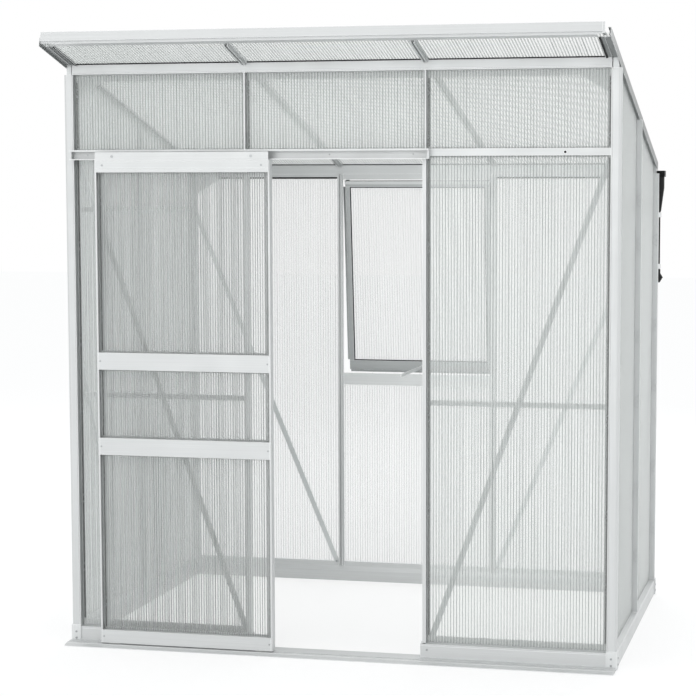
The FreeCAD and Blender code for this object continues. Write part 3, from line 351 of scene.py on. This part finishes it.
def plainFinish(name, colour, roughness, metallic=0.0, gloss=0.5, grainMillimetres=0.6,
                depthMillimetres=0.06, shade=0.88, relief=0.3):
    # A moulded, rolled or plated surface with a fine even grain.
    material, tree = newMaterial(name)
    where = addNode(tree, "ShaderNodeTexCoord").outputs["Object"]
    grain = addNode(tree, "ShaderNodeTexNoise", {
        "Vector": where,
        "Scale": 1000 / grainMillimetres,
        "Detail": 2.0,
    }).outputs["Fac"]
    dark = [value * shade for value in linear(colour)[:3]] + [1.0]
    paint = addNode(tree, "ShaderNodeMix", {
        "Factor": grain,
        "A": dark,
        "B": linear(colour),
    }, data_type="RGBA").outputs["Result"]
    bump = addNode(tree, "ShaderNodeBump", {
        "Height": grain,
        "Strength": relief,
        "Distance": depthMillimetres / 1000,
    }).outputs["Normal"]
    surface = addNode(tree, "ShaderNodeBsdfPrincipled", {
        "Base Color": paint,
        "Metallic": metallic,
        "Roughness": roughness,
        "Specular IOR Level": gloss,
        "Normal": bump,
    })
    closeMaterial(tree, surface.outputs["BSDF"])
    return material


finishes = {
    # extruded rubber: matt and nearly black
    "rubber": {"name": "extrudedEpdmRubber", "colour": "#161718", "roughness": 0.6, "gloss": 0.3},
    # closed-cell foam: dull, with open pores where it was cut
    "foam": {
        "name": "closedCellFoam", "colour": "#232426", "roughness": 0.85,
        "grainMillimetres": 1.2, "depthMillimetres": 0.3,
    },
    # drawn wire and plated screws: small bright glints
    "spring_steel": {"name": "springSteelWire", "colour": "#c3c6c7", "roughness": 0.3, "metallic": 1.0},
    "zinc_steel": {"name": "zincPlatedSteel", "colour": "#a9acad", "roughness": 0.34, "metallic": 1.0},
    # moulded plastics: an even skin, the black one satin so that it stays black
    "black_plastic": {"name": "mouldedBlackPvc", "colour": "#0e0f10", "roughness": 0.42, "gloss": 0.2},
    "white_plastic": {"name": "mouldedWhitePvc", "colour": "#e9eaea", "roughness": 0.4},
    # turned nylon: warm white and waxy
    "nylon": {"name": "turnedNylon", "colour": "#e4e3dd", "roughness": 0.45},
}

alongX, alongY, alongZ = [0], [1, 2], [2]
barX = extrudedAluminium("extrudedAluminiumAcross", aluminium["colour"], alongX)
rakeShadedY = extrudedAluminium("rakeAluminiumPaintedShade", aluminium["rakeShadeColour"], alongY)
barY = extrudedAluminium("extrudedAluminiumDeep", aluminium["colour"], alongY)
barZ = extrudedAluminium("extrudedAluminiumUpright", aluminium["colour"], alongZ)
sashX = extrudedAluminium("sashAluminiumAcross", aluminium["sashShadeColour"], alongX)
sashZ = extrudedAluminium("sashAluminiumUpright", aluminium["sashShadeColour"], alongZ)
braceStrip = extrudedAluminium("rolledAluminiumStrip", aluminium["braceColour"], alongX + alongY)
coverAndPaintedLightMetal = extrudedAluminium("pressedAluminiumCoverAndPaintedLight", aluminium["coverAndPaintedLightColour"], alongZ)
skins = {}
webs = {}
for wall, kind in sheet["kinds"].items():
    across = 1 if wall == "end" else 0
    skins[wall] = (
        twinWallPolycarbonate("linedPolycarbonate" + wall.title(), kind, across),
        twinWallPolycarbonate("faintPolycarbonate" + wall.title(), kind, across, sheet["faintShare"]),
    )
    webs[wall] = polycarbonateWeb("polycarbonateWeb" + wall.title(), kind)
slotFinishes = {slotName: plainFinish(**finish) for slotName, finish in finishes.items()}
slotFinishes["brace_aluminium"] = braceStrip
slotFinishes["cover_aluminium"] = coverAndPaintedLightMetal
slotFinishes["roof_polycarbonate"] = skins["roof"][0]
slotFinishes["polycarbonate"] = skins["front"][0]
print("materials made")

uprightNodes = ("corner_posts_front", "upper_bars", "door_jambs", "back_bars", "door_stiles")
deepNodes = ("base_rails_side", "end_mid_rails", "roof_bars")
# end bars, back corner posts and the stay arm get the paler cover finish: painted light
paintedLightNodes = ("end_bars", "corner_posts_back", "stay_arm")


def nodeFinish(name, slotName):
    # the finish of a node; an aluminium bar's die lines run along it
    # the paler cover finish on these bars is painted light
    if name in paintedLightNodes:
        return coverAndPaintedLightMetal
    # the rakes take the darker copy of the bar finish: painted shade
    if name == "roof_rakes":
        return rakeShadedY
    # the sash takes the darker copy of the bar finish: painted shade
    if slotName == "sash_aluminium":
        return sashZ if name == "sash_stiles" else sashX
    if slotName == "aluminium":
        return barZ if name in uprightNodes else barY if name in deepNodes else barX
    return slotFinishes[slotName]


for name, node in nodes.items():
    node.data.materials[0] = nodeFinish(name, node.data.materials[0].name)


# Parts of a node

mergeDistance = 0.00001


def looseParts(nodeName):
    # every solid of a node as an object of its own, copied and merged
    source = nodes[nodeName]
    copy = source.copy()
    copy.data = source.data.copy()
    copy.parent = None
    bpy.context.collection.objects.link(copy)
    selectOnly(copy)
    bpy.ops.object.mode_set(mode="EDIT")
    bpy.ops.mesh.select_all(action="SELECT")
    bpy.ops.mesh.remove_doubles(threshold=mergeDistance)
    bpy.ops.mesh.separate(type="LOOSE")
    bpy.ops.object.mode_set(mode="OBJECT")
    return list(bpy.context.selected_objects)


# Fluted sheets

roofFall = 0.26
windowOpen = math.radians(5.4)

sheetPlaces = {
    "frontUpperSheets": {"node": "front_upper_panels", "body": "frame", "wall": "front"},
    "frontSheetLeft": {"node": "front_panel_left", "body": "frame", "wall": "behind"},
    "frontSheetRight": {"node": "front_panel_right", "body": "frame", "wall": "front"},
    "backSheets": {"node": "back_panels", "body": "frame", "wall": "back"},
    "backSheetUnderWindow": {"node": "back_panel_under_window", "body": "frame", "wall": "back"},
    "endSheets": {
        "node": "end_panels",
        "body": "frame",
        "wall": "end",
        "across": 1,
        "linedSide": 1,
        "raked": True,
    },
    "doorSheets": {"node": "door_panes", "body": "door", "wall": "door"},
    "windowSheet": {"node": "sash_pane", "body": "sash", "wall": "back", "tilt": windowOpen},
    "roofSheets": {
        "node": "roof_panels",
        "body": "frame",
        "wall": "roof",
        "linedSide": 1,
        "tilt": -math.atan(roofFall) - math.pi / 2,
        "slot": "roof_polycarbonate",
    },
}


def solidSheets(nodeName):
    # the outer form of every sheet in a node, closed over its open flutes
    parts = looseParts(nodeName)
    for part in parts:
        selectOnly(part)
        bpy.ops.object.mode_set(mode="EDIT")
        bpy.ops.mesh.select_all(action="SELECT")
        bpy.ops.mesh.convex_hull(delete_unused=True, use_existing_faces=False)
        bpy.ops.mesh.select_all(action="SELECT")
        bpy.ops.mesh.dissolve_limited(angle_limit=math.radians(1))
        bpy.ops.mesh.select_all(action="SELECT")
        bpy.ops.mesh.normals_make_consistent(inside=False)
        bpy.ops.object.mode_set(mode="OBJECT")
    return parts


def turnAboutX(piece, angle):
    piece.rotation_mode = "XYZ"
    piece.rotation_euler = (angle, 0, 0)
    applyPlace(piece)


uprightBoxes = {}


def flutedSheet(part, place):
    # the sheet stands upright while its webs are set inside it, then leans back to its place;
    # a web stands at every multiple of the pitch, where the skin's lines are at their darkest
    across, tilt = place.get("across", 0), place.get("tilt", 0.0)
    through = 1 - across
    turnAboutX(part, -tilt)
    part.data.materials.clear()
    for finish in skins[place["wall"]]:
        part.data.materials.append(finish)
    for face in part.data.polygons:
        lined = face.normal[through] * place.get("linedSide", -1) > 0.5
        face.material_index = 0 if lined else 1
    low, high = boxOf(part)
    uprightBoxes[place["node"]] = (low, high)
    flutePitch = sheet["kinds"][place["wall"]]["fluteMillimetres"] / 1000
    skin = sheet["skinMillimetres"] / 1000
    thick = sheet["webMillimetres"] / 1000
    first = math.ceil((low[across] + skin) / flutePitch)
    last = math.floor((high[across] - skin) / flutePitch)
    webLow, webHigh = low.copy(), high.copy()
    webLow[across] = first * flutePitch - thick / 2
    webHigh[across] = first * flutePitch + thick / 2
    webLow[through] += skin
    webHigh[through] -= skin
    webLow[2] += skin
    webHigh[2] -= skin
    webRow = addBlock("webs", webLow, webHigh)
    row = webRow.modifiers.new("row", "ARRAY")
    row.count = last - first + 1
    row.use_relative_offset = False
    row.use_constant_offset = True
    row.constant_offset_displace = [flutePitch if i == across else 0 for i in range(3)]
    applyModifiers(webRow)
    if place.get("raked", False):
        highest = max(vertex.co.z + roofFall * vertex.co.y for vertex in part.data.vertices)
        selectOnly(webRow)
        bpy.ops.object.mode_set(mode="EDIT")
        bpy.ops.mesh.select_all(action="SELECT")
        top = (0, 0, highest - 2 * skin)
        bpy.ops.mesh.bisect(plane_co=top, plane_no=(0, roofFall, 1), use_fill=True, clear_outer=True)
        bpy.ops.object.mode_set(mode="OBJECT")
    webRow.data.materials.append(webs[place["wall"]])
    turnAboutX(part, tilt)
    turnAboutX(webRow, tilt)
    return [part, webRow]


for name, place in sheetPlaces.items():
    made = []
    for part in solidSheets(place["node"]):
        made += flutedSheet(part, place)
    piece = joinPieces(made, name)
    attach(piece, place["body"])
    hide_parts(place["node"])
print("sheets made")


# Spring wires that hold the sheets

wireClip = {
    "width": 0.011,
    "depth": 0.015,
    "height": 0.046,
    "legs": 4,
    "wireMillimetres": 1.5,
    "doorHeights": (0.158, 0.591, 0.797, 1.159, 1.562),
    "doorInset": 0.012,
    "backStartsAt": 0.65,
}


def bentWire():
    # a wire in zigzag about its own middle: its left bends press on the bar, its right bends on the sheet
    width, depth, height = wireClip["width"], wireClip["depth"], wireClip["height"]
    deselectAll()
    bpy.ops.mesh.primitive_plane_add(size=width)
    wire = bpy.context.object
    bpy.ops.object.mode_set(mode="EDIT")
    bpy.ops.mesh.select_all(action="SELECT")
    bpy.ops.mesh.merge(type="CENTER")
    bpy.ops.transform.translate(value=(-width / 2, -depth / 2, -height / 2))
    for leg in range(wireClip["legs"]):
        turn = 1 if leg % 2 == 0 else -1
        step = (turn * width, turn * depth, height / wireClip["legs"])
        bpy.ops.mesh.extrude_vertices_move(TRANSFORM_OT_translate={"value": step})
    bpy.ops.object.mode_set(mode="OBJECT")
    bpy.ops.object.convert(target="CURVE")
    wire = bpy.context.object
    wire.data.bevel_depth = wireClip["wireMillimetres"] / 2000
    wire.data.bevel_resolution = 1
    wire.data.use_fill_caps = True
    bpy.ops.object.convert(target="MESH")
    wire = bpy.context.object
    bpy.ops.object.shade_smooth()
    wire.data.materials.clear()
    wire.data.materials.append(slotFinishes["spring_steel"])
    return wire


def placedWire(wire, place, wallTurn, sheetOnRight):
    # a copy turned to face out of its wall, and turned over where its sheet lies to the left of the bar
    copy = wire.copy()
    copy.data = wire.data.copy()
    bpy.context.collection.objects.link(copy)
    copy.rotation_mode = "XYZ"
    copy.rotation_euler = (0, 0 if sheetOnRight else math.pi, wallTurn)
    copy.location = place
    applyPlace(copy)
    return copy


def clipStance(part):
    # a clip's middle, the turn of the wall it is in, and whether its sheet is on its right, seen from outside
    low, high = boxOf(part)
    middle = (low + high) / 2
    if high.x - low.x > high.y - low.y:
        wallTurn = math.copysign(math.pi / 2, middle.x)
    else:
        wallTurn = 0 if middle.y < wireClip["backStartsAt"] else math.pi
    right = Vector((math.cos(wallTurn), math.sin(wallTurn), 0))
    inward = Vector((-math.sin(wallTurn), math.cos(wallTurn), 0))
    offsets = [vertex.co - middle for vertex in part.data.vertices]
    lean = sum(offset.dot(right) * offset.dot(inward) for offset in offsets)
    return middle, wallTurn, lean > 0


sheetWire = bentWire()
frameWires = []
for part in looseParts("glazing_clips"):
    frameWires.append(placedWire(sheetWire, *clipStance(part)))
    bpy.data.objects.remove(part)

stileLow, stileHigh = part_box("door_stiles")
paneLow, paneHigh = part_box("door_panes")
wireFace = paneLow[1] - wireClip["depth"] / 2 - wireClip["wireMillimetres"] / 2000
doorWires = []
for height in wireClip["doorHeights"]:
    leftPlace = (stileLow[0] + wireClip["doorInset"], wireFace, height)
    rightPlace = (stileHigh[0] - wireClip["doorInset"], wireFace, height)
    doorWires.append(placedWire(sheetWire, leftPlace, 0, True))
    doorWires.append(placedWire(sheetWire, rightPlace, 0, False))
bpy.data.objects.remove(sheetWire)

glazingWires = joinPieces(frameWires, "glazingWires")
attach(glazingWires, "frame")
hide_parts("glazing_clips")
doorGlazingWires = joinPieces(doorWires, "doorGlazingWires")
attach(doorGlazingWires, "door")
print("spring wires made")


# Rubber lines, dark strips of painted shade in the shadow gaps under the back beam and over the window, and
# the hinge strip on the inside of the back wall

sashSeal = {"grip": 0.007, "width": 0.0035, "depth": 0.005}

paneLow, paneHigh = uprightBoxes["sash_pane"]
left, right = paneLow[0] + sashSeal["grip"], paneHigh[0] - sashSeal["grip"]
bottom, top = paneLow[2] + sashSeal["grip"], paneHigh[2] - sashSeal["grip"]
near, far, width = paneLow[1] - sashSeal["depth"], paneLow[1], sashSeal["width"]
sashSeals = joinPieces([
    addBlock("sealLeft", (left, near, bottom), (left + width, far, top)),
    addBlock("sealRight", (right - width, near, bottom), (right, far, top)),
    addBlock("sealBottom", (left + width, near, bottom), (right - width, far, bottom + width)),
    addBlock("sealTop", (left + width, near, top - width), (right - width, far, top)),
], "sashSeals")
sashSeals.data.materials.append(slotFinishes["rubber"])
turnAboutX(sashSeals, windowOpen)
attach(sashSeals, "sash")

backSeal = {"inset": 0.004, "topHeight": 0.0045, "lowHeight": 0.007, "thick": 0.0025}
hingeStrip = {"fromBar": 0.0155, "drop": 0.0125, "thick": 0.0014, "gap": 0.003}

beamLow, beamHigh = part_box("eave_beam_back")
barLow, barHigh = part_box("back_bars")
headerLow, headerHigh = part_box("window_header")
wallLow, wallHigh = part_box("back_panels")
thick = backSeal["thick"]
leftEnd, rightEnd = wallLow[0] + backSeal["inset"], wallHigh[0] - backSeal["inset"]
stripLeft, stripRight = headerLow[0] + hingeStrip["fromBar"], headerHigh[0] - hingeStrip["fromBar"]
stripNear, stripFar = headerLow[1] - hingeStrip["thick"], headerLow[1]
stripTop = headerLow[2] + hingeStrip["gap"]
backSealsAndShadowGaps = joinPieces([
    addBlock("sealUnderRoof", (leftEnd, beamLow[1] - thick, beamHigh[2]),
             (rightEnd, beamLow[1], beamHigh[2] + backSeal["topHeight"])),
    # the strips under the beam over each sheet and the strip over the hinge strip are painted shade: dark
    # rubber put where there is only a shadow gap
    addBlock("shadowGapLeftSheet", (leftEnd, wallLow[1] - thick, beamLow[2] - backSeal["lowHeight"]),
             (barLow[0], wallLow[1], beamLow[2])),
    addBlock("shadowGapRightSheet", (barHigh[0], wallLow[1] - thick, beamLow[2] - backSeal["lowHeight"]),
             (rightEnd, wallLow[1], beamLow[2])),
    addBlock("shadowGapOverWindow", (stripLeft, stripNear, headerLow[2]), (stripRight, stripFar, stripTop)),
], "backWallSealsAndShadowGaps")
backSealsAndShadowGaps.data.materials.append(slotFinishes["rubber"])
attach(backSealsAndShadowGaps, "frame")

windowStrip = addBlock("windowHingeStrip", (stripLeft, stripNear, headerLow[2] - hingeStrip["drop"]),
                       (stripRight, stripFar, headerLow[2]))
windowStrip.data.materials.append(barX)
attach(windowStrip, "frame")
print("seals made")


# Screws under the roof's front corners

rakeScrew = {
    "radius": 0.0045,
    "rise": 0.0032,
    "fromFront": 0.022,
    "fromSide": 0.020,
    "flange": 0.0021,
}


def domeScrew():
    # a dome head: the lower half of a ball, drawn flat
    deselectAll()
    radius = rakeScrew["radius"]
    bpy.ops.mesh.primitive_uv_sphere_add(segments=16, ring_count=10, radius=radius)
    screw = bpy.context.object
    bpy.ops.object.mode_set(mode="EDIT")
    bpy.ops.mesh.select_all(action="SELECT")
    bpy.ops.mesh.bisect(plane_co=(0, 0, 0), plane_no=(0, 0, 1), use_fill=True, clear_outer=True)
    bpy.ops.mesh.select_all(action="SELECT")
    bpy.ops.transform.resize(value=(1, 1, rakeScrew["rise"] / radius))
    bpy.ops.object.mode_set(mode="OBJECT")
    bpy.ops.object.shade_smooth_by_angle(angle=math.radians(40))
    screw.data.materials.append(slotFinishes["white_plastic"])
    return screw


screwPattern = domeScrew()
rakeLow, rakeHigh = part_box("roof_rakes")
sheetLow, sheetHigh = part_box("roof_panels")
screws = []
for side in (-1, 1):
    screw = screwPattern.copy()
    screw.data = screwPattern.data.copy()
    bpy.context.collection.objects.link(screw)
    screw.rotation_euler = (-math.atan(roofFall), 0, 0)
    screwX = side * (rakeHigh[0] - rakeScrew["fromSide"])
    screwY = rakeLow[1] + rakeScrew["fromFront"]
    screwZ = sheetLow[2] + roofFall * (sheetHigh[1] - screwY) - rakeScrew["flange"]
    screw.location = (screwX, screwY, screwZ)
    applyPlace(screw)
    screws.append(screw)
bpy.data.objects.remove(screwPattern)
rakeScrews = joinPieces(screws, "rakeScrews")
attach(rakeScrews, "frame")
print("screws made")


# Plugged hole in the header over the right sheet

headerPlug = {"place": (0.7851, 1.7222), "rimRadius": 0.0065, "plugRadius": 0.0042, "stand": 0.0004}
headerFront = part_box("header_rail")[0][1]


def plugDisc(name, radius, stand, slotName):
    # a flat round that lies on the header and stands a little off it
    deselectAll()
    place = (headerPlug["place"][0], headerFront - stand / 2, headerPlug["place"][1])
    bpy.ops.mesh.primitive_cylinder_add(vertices=20, radius=radius, depth=stand, location=place)
    disc = bpy.context.object
    disc.name = name
    disc.rotation_euler = (math.pi / 2, 0, 0)
    applyPlace(disc)
    disc.data.materials.append(slotFinishes[slotName])
    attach(disc, "frame")


plugDisc("headerPlugRim", headerPlug["rimRadius"], headerPlug["stand"], "white_plastic")
plugDisc("headerPlug", headerPlug["plugRadius"], 2 * headerPlug["stand"], "black_plastic")
print("plug made")


# Camera, floor and light

cameraView = {
    "place": (1.71479, -6.39318, 1.59238),
    "turnDegrees": 12.668,
    "tiltDegrees": -5.181,
    "lensMillimetres": 100.97,
    "sensorMillimetres": 36,
    "shift": (-0.0954, 0.0296),
    "farthest": 200,
}
bpy.ops.object.camera_add(location=cameraView["place"])
camera = bpy.context.object
camera.rotation_euler = (
    math.radians(90 + cameraView["tiltDegrees"]), 0, math.radians(cameraView["turnDegrees"]),
)
camera.data.lens = cameraView["lensMillimetres"]
camera.data.sensor_width = cameraView["sensorMillimetres"]
camera.data.shift_x, camera.data.shift_y = cameraView["shift"]
camera.data.clip_end = cameraView["farthest"]
bpy.context.scene.camera = camera

studio = {
    "skyColour": "#f6f7f8",
    "skyStrength": 0.97,
    "floorColour": "#f0f1f1",
    "floorSeen": 0.62,
    "floorGlow": 1.1,
    "floorWidth": 60,
    "floorDrop": 0.0005,  # keeps the floor just under the feet
    "aim": (0.0, 0.6, 0.9),
    "softboxes": {
        "softboxInside": {"place": (0.0, 0.34, 1.15), "size": 1.1, "power": 2.6, "aim": (0.0, 1.3, 1.1)},
        "softboxFront": {"place": (-1.6, -8.6, 3.0), "size": 7.0, "power": 190},
        "softboxRight": {"place": (6.8, -1.6, 3.0), "size": 4.0, "power": 45},
        "softboxAbove": {"place": (-4.6, -1.0, 5.4), "size": 4.0, "power": 40},
        "softboxBack": {"place": (0.6, 5.0, 4.2), "size": 4.0, "power": 90},
    },
}


def seenDirectly(tree):
    # 1 for a ray from the camera, a gloss or clear plastic, 0 for the light that falls on things
    ray = addNode(tree, "ShaderNodeLightPath").outputs
    seen = ray["Is Camera Ray"]
    for kind in ("Is Glossy Ray", "Is Transmission Ray"):
        seen = addNode(tree, "ShaderNodeMath", {0: seen, 1: ray[kind]}, operation="MAXIMUM").outputs[0]
    return seen


def studioWorld():
    # lights the object softly, and is plain white where the camera, a gloss or clear plastic sees it
    world = bpy.data.worlds.new("studioWhite")
    world.use_nodes = True
    tree = world.node_tree
    tree.nodes.clear()
    lit = addNode(tree, "ShaderNodeBackground", {
        "Color": linear(studio["skyColour"]),
        "Strength": studio["skyStrength"],
    })
    white = addNode(tree, "ShaderNodeBackground", {"Color": (1, 1, 1, 1), "Strength": 1.0})
    mixed = addNode(tree, "ShaderNodeMixShader", {
        0: seenDirectly(tree),
        1: lit.outputs[0],
        2: white.outputs[0],
    })
    addNode(tree, "ShaderNodeOutputWorld", {"Surface": mixed.outputs[0]})
    bpy.context.scene.world = world


def floorFinish():
    # Painted studio floor, matt white: lifted towards white where it is seen, with the object's shadow kept.
    material, tree = newMaterial("mattStudioFloor")
    share = addNode(tree, "ShaderNodeMath", {
        0: seenDirectly(tree),
        1: studio["floorSeen"],
    }, operation="MULTIPLY")
    matt = addNode(tree, "ShaderNodeBsdfDiffuse", {"Color": linear(studio["floorColour"])})
    white = addNode(tree, "ShaderNodeEmission", {
        "Color": (1, 1, 1, 1),
        "Strength": studio["floorGlow"],
    })
    mixed = addNode(tree, "ShaderNodeMixShader", {
        0: share.outputs[0],
        1: matt.outputs[0],
        2: white.outputs[0],
    })
    closeMaterial(tree, mixed.outputs[0])
    return material


def addSoftbox(name, place, size, power, aim=studio["aim"]):
    # a square soft lamp that lights its aim and isn't seen itself
    bpy.ops.object.light_add(type="AREA", location=place)
    lamp = bpy.context.object
    lamp.name = name
    lamp.visible_camera = False
    lamp.data.size = size
    lamp.data.energy = power
    lamp.rotation_euler = (Vector(aim) - Vector(place)).to_track_quat("-Z", "Y").to_euler()


deselectAll()
bpy.ops.mesh.primitive_plane_add(size=studio["floorWidth"], location=(0, 0, -studio["floorDrop"]))
floor = bpy.context.object
floor.name = "studioFloor"
applyPlace(floor)
floor.data.materials.append(floorFinish())
studioWorld()
for name, softbox in studio["softboxes"].items():
    addSoftbox(name, **softbox)
bpy.context.scene.view_settings.view_transform = "Standard"
print("studio made")
